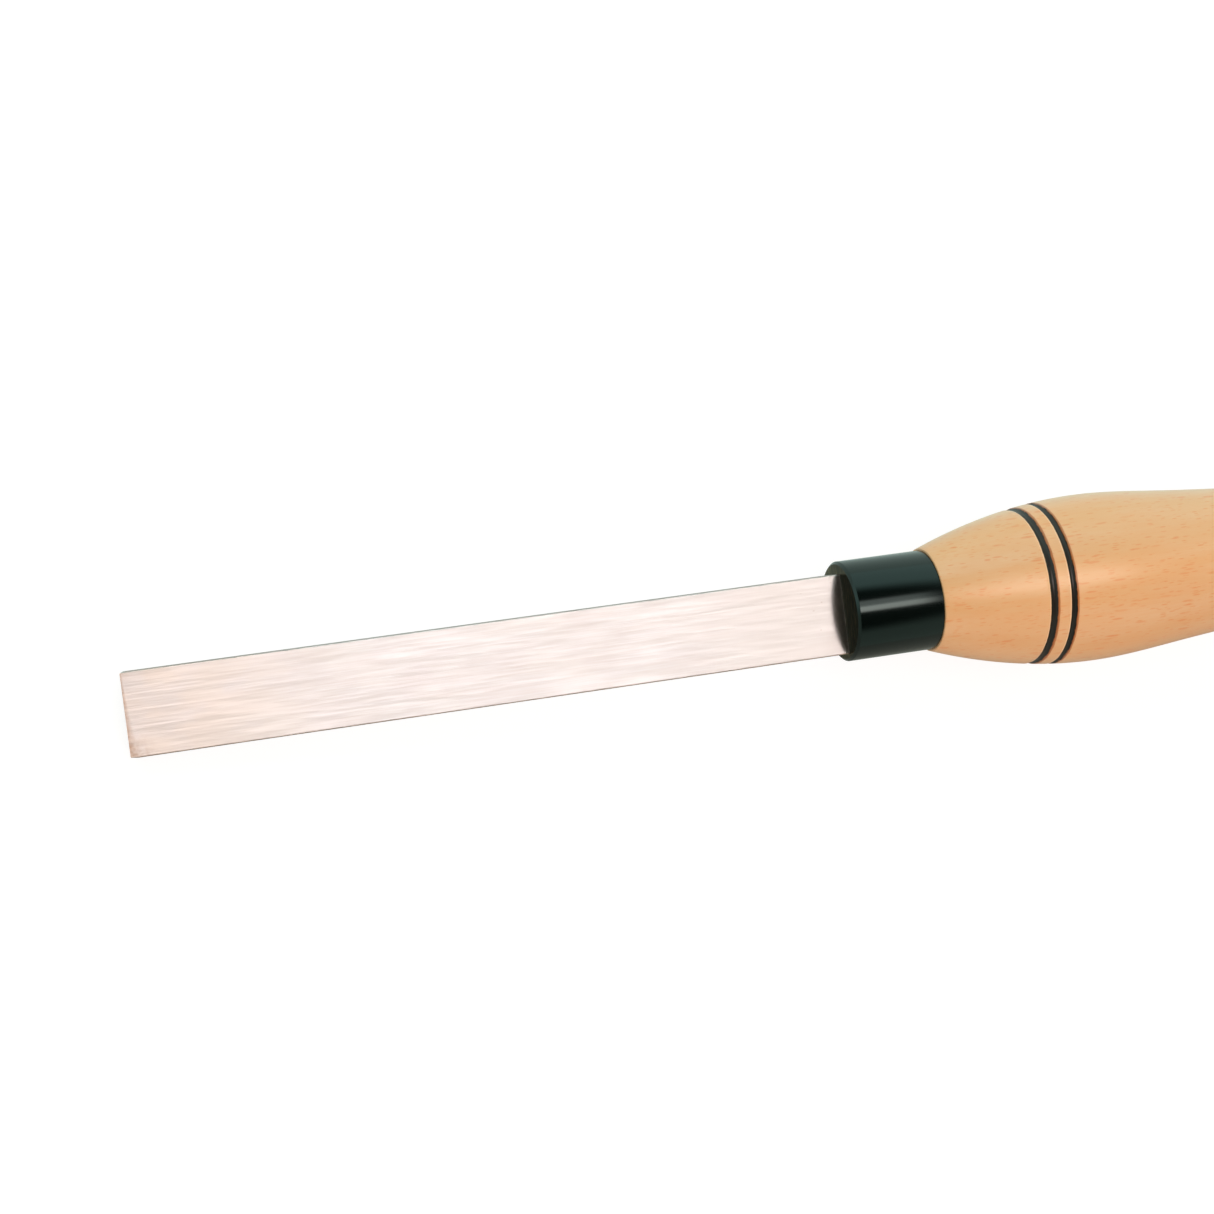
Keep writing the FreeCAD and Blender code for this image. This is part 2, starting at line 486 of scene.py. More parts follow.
@dataclass(frozen=True)
class GroundSteel(Finish):
    """High-speed steel linished along its length, warmer towards its end, with painted shade along
    the end's edge, at its corners and along its long edges.

    Attributes:
        tip: Place of the blade's end along the tool.
        half_width: Half the bar's width.
        middle_across: Place of the bar's middle across the tool.
        warm_length: How far the end's warmer tone reaches.
        worn: Where the worn tone near the ferrule starts, and where it is full.
        corners: For each corner of the end its side, and the size and strength of its painted
            shade.
        burn_depth: How far the painted shade along the end's edge reaches.
    """

    tip: float
    half_width: float
    middle_across: float
    warm_length: float = 60.0
    worn: Pair = (-48.0, -14.0)
    corners: tuple[Triple, ...] = ((-1.0, 7.0, 0.62), (1.0, 2.8, 0.4))
    burn_depth: float = 1.9
    end_colour: Colour = (0.89, 0.77, 0.70)
    bar_colour: Colour = (0.91, 0.885, 0.89)
    cool_colour: Colour = (0.86, 0.81, 0.83)
    streak_colour: Colour = (0.78, 0.66, 0.60)
    worn_colour: Colour = (0.81, 0.74, 0.71)
    # Painted shade: the brown along the end's edge, at its corners and along the low long edge.
    burn_colour: Colour = (0.50, 0.30, 0.19)
    # Painted shade along the high long edge.
    edge_colour: Colour = (0.25, 0.15, 0.13)
    pit_colour: Colour = (0.42, 0.30, 0.22)
    roughness: float = 0.33
    anisotropy: float = 1.0
    fine: Streaks = Streaks(11.0, 0.3, 0.5, 4.0, 0.25, 0.75)
    broad: Streaks = Streaks(16.0, 2.2, 8.0, 4.0)
    blotches: Streaks = Streaks(9.0, 5.0, 9.0, low=0.35)
    uneven: Streaks = Streaks(1.2, 1.2, 3.0, 2.0, 0.2, 0.8)
    scuffs: Flecks = Flecks(0.35, 0.9, 3.0, 0.4, 0.55)
    pits: Flecks = Flecks(2.4, 0.9, 4.0, 0.2, 0.35)

    def material(self) -> bpy.types.Material:
        """Return the blade's material."""
        material, sheet, shader = self.start("ground_steel")
        place, (along, across, _) = self.places(sheet)
        fine, broad, blotches = (self.effects.mask(sheet, place, marks)
                                 for marks in (self.fine, self.broad, self.blotches))
        warm = sheet.ramp(along, (self.tip, 1.0), (self.tip + self.warm_length, 0.0))
        worn = sheet.ramp(along, (self.worn[0], 0.0), (self.worn[1], 0.7))
        colour = sheet.layer(
            self.bar_colour, (warm, 1.0, self.end_colour), (blotches, 0.5, self.cool_colour),
            (broad, 0.2, self.streak_colour), (fine, 0.32, self.streak_colour),
            (worn, 1.0, self.worn_colour))
        rough = sheet.ramp(fine, (0.0, self.roughness - 0.03), (1.0, self.roughness + 0.04),
                           smooth=False)
        scuffed = self.scuffed(sheet, place, along)
        across_the_lines = sheet.add("ShaderNodeCombineXYZ", {"Y": 1.0})
        sheet.wire(shader, {
            "Base Color": self.burnt(sheet, colour, place, along, across),
            "Metallic": 1.0,
            "Roughness": sheet.math("ADD", rough, sheet.times(scuffed, 0.4)),
            "Anisotropic": self.anisotropy,
            "Tangent": across_the_lines.outputs["Vector"],
        })
        self.raise_by(sheet, shader, fine, 0.001, 0.3)
        return material

    def scuffed(self, sheet: Sheet, place: Feed, along: Feed) -> bpy.types.NodeSocket:
        """Add the small scuffs and the thin line where the bar meets the ferrule.

        Args:
            sheet: The material's sheet.
            place: The place on the tool.
            along: Its part along the tool.

        Returns:
            The scuffs as a mask.
        """
        scuffs = self.effects.mask(sheet, place, self.scuffs)
        near = sheet.ramp(along, (-4.5, 0.0), (-2.0, 1.0))
        line = sheet.ramp(along, (-0.45, 0.0), (-0.15, 1.0))
        return sheet.math("MAXIMUM", sheet.times(scuffs, near), line)

    def burnt(self, sheet: Sheet, colour: Feed, place: Feed, along: Feed,
              across: Feed) -> bpy.types.NodeSocket:
        """Add the tint that grinding left at the end and its corners, and the darker long edges.

        Args:
            sheet: The material's sheet.
            colour: The clean steel's colour.
            place: The place on the tool.
            along: Its part along the tool.
            across: Its part across the tool.

        Returns:
            The colour with the painted shade.
        """
        low_side = self.middle_across - self.half_width
        high_side = self.middle_across + self.half_width
        from_tip = sheet.math("SUBTRACT", along, self.tip)
        taper = sheet.ramp(across, (low_side, 1.0), (high_side, 0.25))
        uneven = self.effects.mask(sheet, place, self.uneven)
        # Painted shade along the end's edge, reaching further on the low side.
        edge = sheet.ramp(sheet.math("DIVIDE", from_tip, taper), (0.0, 1.0), (self.burn_depth, 0.0))
        edge = sheet.times(edge, sheet.ramp(uneven, (0.0, 0.65), (1.0, 1.0)))
        tinted = sheet.layer(colour, (edge, 0.7, self.burn_colour))
        # Painted shade at the end's two corners.
        for side, size, strength in self.corners:
            corner = sheet.math("SUBTRACT", across, self.middle_across + side * self.half_width)
            away = sheet.distance(corner, from_tip)
            stained = sheet.times(sheet.ramp(away, (0.0, strength), (size, 0.0)), uneven)
            tinted = sheet.mix(stained, tinted, self.burn_colour)
        # Painted shade along the low long edge and the high long edge.
        low_edge = sheet.ramp(across, (low_side + 0.05, 0.8), (low_side + 0.4, 0.0))
        high_edge = sheet.ramp(across, (high_side - 0.14, 0.0), (high_side - 0.02, 0.65))
        pits = self.effects.mask(sheet, place, self.pits)
        near_ferrule = sheet.ramp(along, (-14.0, 0.0), (-5.0, 0.5))
        return sheet.layer(
            tinted, (low_edge, 1.0, self.burn_colour), (high_edge, 1.0, self.edge_colour),
            (sheet.times(pits, near_ferrule), 1.0, self.pit_colour))


@dataclass(frozen=True)
class BlackAnodised(Finish):
    """Aluminium turned bright, with the finest rings left by the tool, and anodised black.

    Attributes:
        duller: Where the gloss starts to dull along the tool, and where it has done so.
    """

    base_colour: Colour = (0.0015, 0.003, 0.0026)
    speck_colour: Colour = (0.16, 0.16, 0.15)
    tint: Colour = (0.81, 1.0, 0.96)
    roughness: float = 0.13
    duller: Pair = (2.0, 21.0)
    rings: Streaks = Streaks(0.5, 0.14, 1.0)
    specks: Flecks = Flecks(3.0, 2.4, 2.4, 0.07, 0.3)

    def material(self) -> bpy.types.Material:
        """Return the ferrule's material."""
        material, sheet, shader = self.start("black_anodised")
        place, (along, across, up) = self.places(sheet)
        on_radius = sheet.add("ShaderNodeCombineXYZ", {"X": along, "Y": sheet.distance(across, up)})
        rings = self.effects.mask(sheet, on_radius.outputs["Vector"], self.rings)
        specks = self.effects.mask(sheet, place, self.specks)
        start, end = self.duller
        sheet.wire(shader, {
            "Base Color": sheet.layer(self.base_colour, (specks, 0.35, self.speck_colour)),
            "Roughness": sheet.ramp(along, (start, self.roughness), (end, self.roughness + 0.04),
                                    smooth=False),
            "Specular Tint": self.tint,
        })
        self.raise_by(sheet, shader, rings, 0.002, 0.12)
        return material


@dataclass(frozen=True)
class FacedBlack(Finish):
    """The same metal on the cap's front, where the marks of facing are worn brown."""

    base_colour: Colour = (0.002, 0.0015, 0.001)
    worn_colour: Colour = (0.13, 0.095, 0.05)
    tint: Colour = (0.90, 0.87, 0.80)
    roughness: float = 0.17
    marks: Streaks = Streaks(1.0, 4.0, 0.6, 4.0, 0.42, 0.75)

    def material(self) -> bpy.types.Material:
        """Return the material of the ferrule's front."""
        material, sheet, shader = self.start("faced_black")
        place, _ = self.places(sheet)
        marks = self.effects.mask(sheet, place, self.marks)
        sheet.wire(shader, {
            "Base Color": sheet.mix(marks, self.base_colour, self.worn_colour),
            "Metallic": 1.0,
            "Roughness": self.roughness,
            "Specular Tint": self.tint,
        })
        self.raise_by(sheet, shader, marks, 0.01, 0.5)
        return material


@dataclass(frozen=True)
class LacqueredBeech(Finish):
    """Turned beech under clear lacquer, scorched in its two lines, with a painted highlight on the
    front rim of each.

    Attributes:
        line_places: Place along the tool and width of each scorched line.
    """

    line_places: tuple[Pair, ...]
    wood: Colour = (0.72, 0.41, 0.188)
    pale: Colour = (0.74, 0.455, 0.24)
    orange: Colour = (0.73, 0.335, 0.13)
    fleck: Colour = (0.70, 0.22, 0.06)
    scorch: Colour = (0.012, 0.009, 0.006)
    halo: Colour = (0.42, 0.12, 0.025)
    # Painted highlight on the front rim of each scorched line.
    rim: Colour = (1.0, 0.74, 0.50)
    zones: Streaks = Streaks(46.0, 5.5, 9.0)
    clouds: Streaks = Streaks(22.0, 2.2, 6.0, high=0.75)
    fine: Streaks = Streaks(7.0, 0.3, 1.5)
    small: Flecks = Flecks(2.8, 0.46, 1.4, 0.45, 0.85)
    large: Flecks = Flecks(6.4, 0.95, 3.0, 0.38, 0.6)
    wavering: Streaks = Streaks(0.6, 1.5, 1.5, 2.0, 0.2, 0.8)

    def material(self) -> bpy.types.Material:
        """Return the handle's material."""
        material, sheet, shader = self.start("lacquered_beech")
        place, (along, _, _) = self.places(sheet)
        zones, clouds, fine, small, large = (
            self.effects.mask(sheet, place, marks)
            for marks in (self.zones, self.clouds, self.fine, self.small, self.large))
        burnt, halo, rim = self.scorched(sheet, place, along)
        sheet.wire(shader, {
            "Base Color": sheet.layer(
                self.wood, (zones, 0.9, self.pale), (clouds, 0.3, self.orange),
                (fine, 0.22, self.orange), (small, 0.6, self.fleck), (large, 0.62, self.fleck),
                # The rim layer is a painted highlight.
                (rim, 0.35, self.rim), (halo, 0.95, self.halo), (burnt, 1.0, self.scorch)),
            "Roughness": sheet.ramp(fine, (0.0, 0.42), (1.0, 0.5)),
            "Coat Weight": sheet.ramp(burnt, (0.0, 1.0), (1.0, 0.6)),
            "Coat Roughness": 0.29,
            "Coat IOR": 1.5,
            "Specular IOR Level": 0.2,
        })
        self.raise_by(sheet, shader, fine, 0.004, 0.3)
        return material

    def scorched(self, sheet: Sheet, place: Feed, along: Feed) -> list[Feed]:
        """Add the scorched lines, the brown halo on their butt side and a painted highlight on
        their front rim.

        Args:
            sheet: The material's sheet.
            place: The place on the tool.
            along: Its part along the tool.

        Returns:
            The masks of the char, the halo and the painted highlight on the rim.
        """
        uneven = self.effects.mask(sheet, place, self.wavering)
        wavered = sheet.math("ADD", along, sheet.times(uneven, 0.12))
        masks: list[Feed] = [0.0, 0.0, 0.0]
        for middle, width in self.line_places:
            half = width / 2
            bands = ((wavered, middle + 0.06, half - 0.02, 0.08),
                     (wavered, middle + 0.47, half, 0.13),
                     # A painted highlight on the line's front rim.
                     (along, middle - half - 0.16, 0.12, 0.08))
            for which, (reading, place_along, half_width, softness) in enumerate(bands):
                band = sheet.call(self.effects.band, reading=reading, middle=place_along,
                                  half_width=half_width, softness=softness)
                masks[which] = sheet.math("MAXIMUM", masks[which], band)
        return masks


@dataclass
class Piece:
    """One physical piece, which takes the place of its plain solid.

    Attributes:
        lie: How the tool lies.
    """

    lie: Lie

    def settle(self, piece: bpy.types.Object, node: str, slot: str,
               material: bpy.types.Material) -> None:
        """Lay a modelled piece in place, dress it and let it stand for its node.

        Args:
            piece: The modelled piece.
            node: The name of the node that it replaces.
            slot: The record's material slot; not used.
            material: The finish.
        """
        self.lie.place(piece)
        piece.data.materials.clear()
        piece.data.materials.append(material)
        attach(piece, "root")
        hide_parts(node)
        piece.data.calc_loop_triangles()
        log.info("%s: %d triangles", piece.name, len(piece.data.loop_triangles))

    @staticmethod
    def turn(name: str, outline: list[Pair], steps: int) -> bpy.types.Object:
        """Turn a piece from its outline, as on a lathe.

        Args:
            name: The piece's name.
            outline: Places along the axis and radii, in millimetres, both ends on the axis.
            steps: How many faces go round.

        Returns:
            The turned piece, closed and facing outwards.
        """
        first = outline[0]
        bpy.ops.mesh.primitive_plane_add(size=MM, location=(0.0, 0.0, 0.0))
        piece = bpy.context.object
        piece.name = name
        with editing(piece):
            bpy.ops.mesh.select_all(action="SELECT")
            bpy.ops.mesh.merge(type="CENTER")
            bpy.ops.transform.translate(value=(first[0] * MM, 0.0, first[1] * MM))
            for start, end in zip(outline, outline[1:]):
                step = ((end[0] - start[0]) * MM, 0.0, (end[1] - start[1]) * MM)
                bpy.ops.mesh.extrude_vertices_move(TRANSFORM_OT_translate={"value": step})
            bpy.ops.mesh.select_all(action="SELECT")
            bpy.ops.mesh.spin(steps=steps, angle=math.tau,
                              center=(0.0, 0.0, 0.0), axis=(1.0, 0.0, 0.0))
            bpy.ops.mesh.select_all(action="SELECT")
            bpy.ops.mesh.remove_doubles(threshold=1e-6)
            bpy.ops.mesh.normals_make_consistent(inside=False)
        return piece

    @staticmethod
    def smooth(piece: bpy.types.Object, angle: float) -> None:
        """Shade a piece smooth but for edges sharper than an angle in degrees."""
        choose(piece)
        bpy.ops.object.shade_smooth_by_angle(angle=math.radians(angle))


@dataclass(frozen=True)
class Tang:
    """The tang's size, in millimetres.

    Attributes:
        length: Its length.
        root: Its width and thickness at the bar.
        end: Its width and thickness at its end.
    """

    length: float = 78.0
    root: Pair = (12.0, 5.2)
    end: Pair = (6.0, 3.5)

@dataclass
class Blade(Piece):
    """The ground bar with its square end, and the tang that is hidden in the handle.

    Attributes:
        width: Width of the bar, in millimetres as all sizes here.
        thickness: Thickness of the bar.
        reach: Bare length, from the end to the ferrule.
        side_offset: How far the bar sits to one side of the axis.
        grind_angle: Angle of the end to the flat, in degrees.
        edge_radius: Rounding of the long edges.
        arris_radius: Rounding of the end's own edges.
        ease_length: Length of the two eased corners of the end.
        ease_depth: Depth of the same corners.
        tang: The tang's size.
        border: Width of the frame round each flat.
    """

    width: float = 19.0
    thickness: float = 6.35
    reach: float = 169.0
    side_offset: float = -0.56
    grind_angle: float = 78.0
    edge_radius: float = 0.3
    arris_radius: float = 0.3
    ease_length: float = 1.7
    ease_depth: float = 0.25
    tang: Tang = Tang()
    border: float = 0.04

    def draw_tang(self, piece: bpy.types.Object) -> None:
        """Draw the tang out of the bar's back end."""
        root_width, root_thickness = self.tang.root
        end_width, end_thickness = self.tang.end
        inset = 0.5
        axis = (0.0, -self.side_offset * MM, 0.0)
        pick(piece, Select.FACES, lambda middle, normal: normal.x > 0.9)
        bpy.ops.mesh.inset(thickness=inset * MM)
        narrower = root_width / (self.width - 2 * inset)
        thinner = root_thickness / (self.thickness - 2 * inset)
        bpy.ops.transform.resize(value=(1.0, narrower, thinner), center_override=(0.0, 0.0, 0.0))
        bpy.ops.transform.translate(value=axis)
        bpy.ops.mesh.extrude_region_move(
            TRANSFORM_OT_translate={"value": (self.tang.length * MM, 0.0, 0.0)})
        bpy.ops.transform.resize(
            value=(1.0, end_width / root_width, end_thickness / root_thickness),
            center_override=axis)

    def grind_end(self, piece: bpy.types.Object) -> None:
        """Slope the end back below, and ease its two corners."""
        setback = self.thickness / math.tan(math.radians(self.grind_angle))
        pick(piece, Select.POINTS, lambda place, normal: place.x < -self.reach + 1 and place.z < 0)
        bpy.ops.transform.translate(value=(setback * MM, 0.0, 0.0))
        for side in (-1.0, 1.0):
            bpy.ops.mesh.select_all(action="SELECT")
            corner = Vector((-self.reach + self.ease_length, side * self.width / 2, 0.0)) * MM
            outwards = Vector((-self.ease_depth, side * self.ease_length, 0.0)).normalized()
            bpy.ops.mesh.bisect(plane_co=corner, plane_no=outwards, use_fill=True, clear_outer=True)

    def round_edges(self, piece: bpy.types.Object) -> None:
        """Round the long edges, and break the end's upper arris."""
        half_width = self.width / 2
        half_thickness = self.thickness / 2
        near = 0.01

        def is_long(middle: Vector, run: Vector) -> bool:
            """Say whether an edge is one of the bar's four long ones."""
            at_side = abs(abs(middle.y) - half_width) < near
            return at_side and abs(abs(middle.z) - half_thickness) < near and abs(run.x) > 0.99

        def is_arris(middle: Vector, run: Vector) -> bool:
            """Say whether an edge runs round the top of the end."""
            at_end = middle.x < -self.reach + self.ease_length and abs(run.z) < 0.5
            return at_end and abs(middle.z - half_thickness) < near

        pick(piece, Select.EDGES, is_long)
        bpy.ops.mesh.bevel(offset=self.edge_radius * MM, segments=5, affect="EDGES")
        pick(piece, Select.EDGES, is_arris)
        bpy.ops.mesh.bevel(offset=self.arris_radius * MM, segments=4, affect="EDGES")

    def hold_flats(self, piece: bpy.types.Object) -> None:
        """Frame each flat with a narrow border, so that its shading stays flat up to its edges."""
        def is_flat(middle: Vector, normal: Vector) -> bool:
            """Say whether a face is one of the bar's four flats."""
            return middle.x < -1.0 and max(abs(normal.y), abs(normal.z)) > 0.9999

        pick(piece, Select.FACES, is_flat)
        bpy.ops.mesh.inset(thickness=self.border * MM, use_individual=True)

    def build(self, finish: GroundSteel) -> None:
        """Model the blade and dress it."""
        piece = add_block("ground_blade", -self.reach / 2, (self.reach, self.width, self.thickness))
        with editing(piece):
            self.draw_tang(piece)
            self.grind_end(piece)
            self.round_edges(piece)
            self.hold_flats(piece)
            bpy.ops.mesh.select_all(action="SELECT")
            bpy.ops.transform.translate(value=(0.0, self.side_offset * MM, 0.0))
            bpy.ops.mesh.normals_make_consistent(inside=False)
        self.smooth(piece, 30.0)
        self.settle(piece, "blade", "blade_steel", finish.material())


@dataclass
class Ferrule(Piece):
    """The black cap, closed at the front but for the tang's slot.

    Attributes:
        diameter: Outside diameter, in millimetres as all sizes here.
        length: Length along the axis.
        bore_radius: Radius of the bore over the handle's spigot.
        front_wall: Thickness of the front wall.
        chamfer: Chamfer of the front edge.
        arris_radius: Rounding of the turned edges.
        slot: Width and height of the tang's slot.
        steps: How many faces go round.
    """

    diameter: float = 23.9
    length: float = 21.8
    bore_radius: float = 9.75
    front_wall: float = 3.0
    chamfer: float = 0.6
    arris_radius: float = 0.08
    slot: Pair = (12.3, 5.5)
    steps: int = 192

    def outline(self) -> list[Pair]:
        """Return the cap's section, with its turned edges rounded."""
        radius = self.diameter / 2
        corners = [(0.0, 0.0), (0.0, radius - self.chamfer), (self.chamfer, radius),
                   (self.length, radius), (self.length, self.bore_radius),
                   (self.front_wall, self.bore_radius), (self.front_wall, 0.0)]
        rounded = [corners[0]]
        for before, corner, after in zip(corners, corners[1:], corners[2:]):
            rounded.extend(rounded_corner(before, corner, after, self.arris_radius))
        return rounded + [corners[-1]]

    def cut_slot(self, piece: bpy.types.Object) -> None:
        """Cut the tang's slot through the front wall."""
        margin = 1.0
        cutter = add_block("slot_cutter", (self.front_wall - margin) / 2,
                           (self.front_wall + margin, *self.slot))
        cut = piece.modifiers.new("slot", "BOOLEAN")
        cut.operation = "DIFFERENCE"
        cut.solver = "EXACT"
        cut.object = cutter
        choose(piece)
        bpy.ops.object.modifier_apply(modifier=cut.name)
        bpy.data.objects.remove(cutter)

    def build(self, finish: BlackAnodised, front: FacedBlack) -> None:
        """Model the ferrule and dress it, its front in a finish of its own."""
        piece = self.turn("cap_ferrule", self.outline(), self.steps)
        self.cut_slot(piece)
        self.smooth(piece, 30.0)
        self.settle(piece, "ferrule", "ferrule_black", finish.material())
        piece.data.materials.append(front.material())
        with editing(piece):
            pick(piece, Select.FACES, lambda middle, normal: normal.x < -0.95)
            piece.active_material_index = 1
            bpy.ops.object.material_slot_assign()


def rounded_corner(before: Pair, corner: Pair, after: Pair, radius: float) -> list[Pair]:
    """Return the points that round one corner of an outline.

    Args:
        before: The point before the corner.
        corner: The corner.
        after: The point after it.
        radius: How far the rounding starts from the corner.

    Returns:
        Four points on a curve that leaves one side and joins the other.
    """
    middle = Vector(corner)
    start = middle + (Vector(before) - middle).normalized() * radius
    end = middle + (Vector(after) - middle).normalized() * radius
    shares = [step / 3 for step in range(4)]
    curve = [start * (1 - t) ** 2 + middle * 2 * t * (1 - t) + end * t * t for t in shares]
    return [(spot.x, spot.y) for spot in curve]


def cubic_shares(t: float) -> Shares:
    """Return the shares of a cubic curve's four poles at a place from 0 to 1."""
    return (1 - t) ** 3, 3 * t * (1 - t) ** 2, 3 * t * t * (1 - t), t ** 3


@dataclass
class Handle(Piece):
    """The turned handle: spigot, bulb with two scorched lines, waist, swell and butt.

    Distances are measured from the shoulder that the ferrule seats on, slopes are rise over run
    of the outline, and all sizes are in millimetres.

    Attributes:
        shoulder: Place of the shoulder along the tool.
        length: Length behind the shoulder.
        lip: Diameter and slope where the outline starts.
        lip_radius: Rounding of the lip.
        bulb: Distance and diameter of the bulb's widest place.
        flank: Distance, diameter and slope behind the bulb.
        waist: Distance and diameter of the waist.
        swell: Distance and diameter of the rear swell.
        flat: Diameter of the butt's small flat, and how far the dome runs on for each millimetre
            towards it.
        spigot: Front end and radius of the spigot.
        tang: Size of the tang that the socket takes.
        socket_clearance: Room round the tang's corners.
        socket_end_gap: Room past the tang's end.
        lines: Distance and width of each scorched line.
        line_depth: Depth of the lines.
        rim: How much of a line's rim is rounded over.
        steps: How many faces go round.
    """

    shoulder: float = Ferrule.length
    length: float = 256.0
    lip: Pair = (24.8, 0.36)
    lip_radius: float = 0.35
    bulb: Pair = (42.7, 40.7)
    flank: Triple = (63.6, 37.7, -0.1)
    waist: Pair = (153.0, 29.2)
    swell: Pair = (222.0, 33.0)
    flat: Pair = (9.0, 0.36)
    spigot: Pair = (3.3, 9.7)
    tang: Tang = Tang()
    socket_clearance: float = 0.15
    socket_end_gap: float = 2.0
    lines: tuple[Pair, ...] = ((25.1, 1.7), (29.9, 1.5))
    line_depth: float = 0.6
    rim: float = 0.1
    steps: int = 192

    @property
    def butt(self) -> float:
        """Return the place of the handle's end along the tool."""
        return self.shoulder + self.length

    def line_places(self) -> tuple[Pair, ...]:
        """Return the place along the tool and the width of each scorched line."""
        return tuple((self.shoulder + distance, width) for distance, width in self.lines)

    def lip_round(self) -> tuple[Pair, Pair]:
        """Return the middle of the lip's rounding, and the point where the outline leaves it."""
        diameter, slope = self.lip
        slant = math.hypot(1.0, slope)
        middle = (self.shoulder + self.lip_radius, diameter / 2 + self.lip_radius * (slope - slant))
        leaves = (middle[0] - self.lip_radius * slope / slant, middle[1] + self.lip_radius / slant)
        return middle, leaves

    def stations(self) -> list[Triple]:
        """Return the outline's stations: place along the tool, radius and slope."""
        _, leaves = self.lip_round()
        behind = [(*self.bulb, 0.0), self.flank, (*self.waist, 0.0), (*self.swell, 0.0)]
        return [(*leaves, self.lip[1])] + [
            (self.shoulder + distance, diameter / 2, slope) for distance, diameter, slope in behind]

    def radius_at(self, x: float) -> float:
        """Return the uncut outline's radius at a place along the tool."""
        stations = self.stations()
        spans = list(zip(stations, stations[1:]))
        start, end = next((span for span in spans if x <= span[1][0]), spans[-1])
        run = end[0] - start[0]
        t = (x - start[0]) / run
        poles = (start[1], start[1] + run * start[2] / 3, end[1] - run * end[2] / 3, end[1])
        return sum(pole * share for pole, share in zip(poles, cubic_shares(t)))

    def cut_radius_at(self, x: float) -> float:
        """Return the outline's radius with the lines cut and their rims rounded over."""
        radius = self.radius_at(x)
        for distance, width in self.lines:
            middle = self.shoulder + distance
            ring = ((width / 2) ** 2 + self.line_depth ** 2) / (2 * self.line_depth)
            away = abs(x - middle)
            if away < ring:
                floor = (self.radius_at(middle) + ring - self.line_depth
                         - math.sqrt(ring ** 2 - away ** 2))
                near = max(self.rim - abs(radius - floor), 0.0) / self.rim
                radius = min(radius, floor) - self.rim * near ** 2 / 4
        return radius

    def places_along(self) -> list[float]:
        """Return where the outline has points: close in the lines, further apart elsewhere."""
        fine, medium, coarse = 0.08, 0.9, 2.2
        margin = 0.35
        stations = self.stations()
        start, flank, end = stations[0][0], stations[2][0], stations[-1][0]
        places: list[float] = []
        x = start
        while x < end - fine:
            places.append(x)
            in_line = any(abs(x + fine - self.shoulder - distance) < width / 2 + margin
                          for distance, width in self.lines)
            x += fine if in_line else (medium if x < flank else coarse)
        return places + [end]

    def outline(self) -> list[Pair]:
        """Return the whole section, from the socket's end round the outside to the butt."""
        socket_end = self.tang.length + self.socket_end_gap
        spigot_front, spigot_radius = self.spigot
        share = spigot_front / self.tang.length
        mouth = [root + share * (end - root) for root, end in zip(self.tang.root, self.tang.end)]
        middle, leaves = self.lip_round()
        outline = [(socket_end, 0.0),
                   (socket_end, math.hypot(*self.tang.end) / 2 + self.socket_clearance),
                   (spigot_front, math.hypot(*mouth) / 2 + self.socket_clearance),
                   (spigot_front, spigot_radius), (self.shoulder, spigot_radius)]
        last = math.atan2(leaves[1] - middle[1], leaves[0] - middle[0])
        bends = 6
        for step in range(bends):
            angle = math.pi + (last - math.pi) * step / bends
            outline.append((middle[0] + self.lip_radius * math.cos(angle),
                            middle[1] + self.lip_radius * math.sin(angle)))
        outline += [(x, self.cut_radius_at(x)) for x in self.places_along()]
        return outline + self.dome() + [(self.butt, 0.0)]

    def dome(self) -> list[Pair]:
        """Return the points of the butt's dome, from behind the swell to the small flat."""
        start, radius = self.shoulder + self.swell[0], self.swell[1] / 2
        flat, lean = self.flat[0] / 2, self.flat[1]
        oval = 4 / 3 * (math.sqrt(2) - 1)
        fall = oval * (radius - flat)
        poles = [Vector((start, radius)), Vector((start + oval * (self.butt - start), radius)),
                 Vector((self.butt - lean * fall, flat + fall)), Vector((self.butt, flat))]
        steps = 26
        dome = []
        for t in [step / steps for step in range(1, steps + 1)]:
            parts = (pole * share for pole, share in zip(poles, cubic_shares(t)))
            spot = sum(parts, Vector((0.0, 0.0)))
            dome.append((spot.x, spot.y))
        return dome

    def build(self, finish: LacqueredBeech) -> None:
        """Model the handle and dress it."""
        piece = self.turn("turned_handle", self.outline(), self.steps)
        self.smooth(piece, 40.0)
        self.settle(piece, "handle", "handle_beech", finish.material())


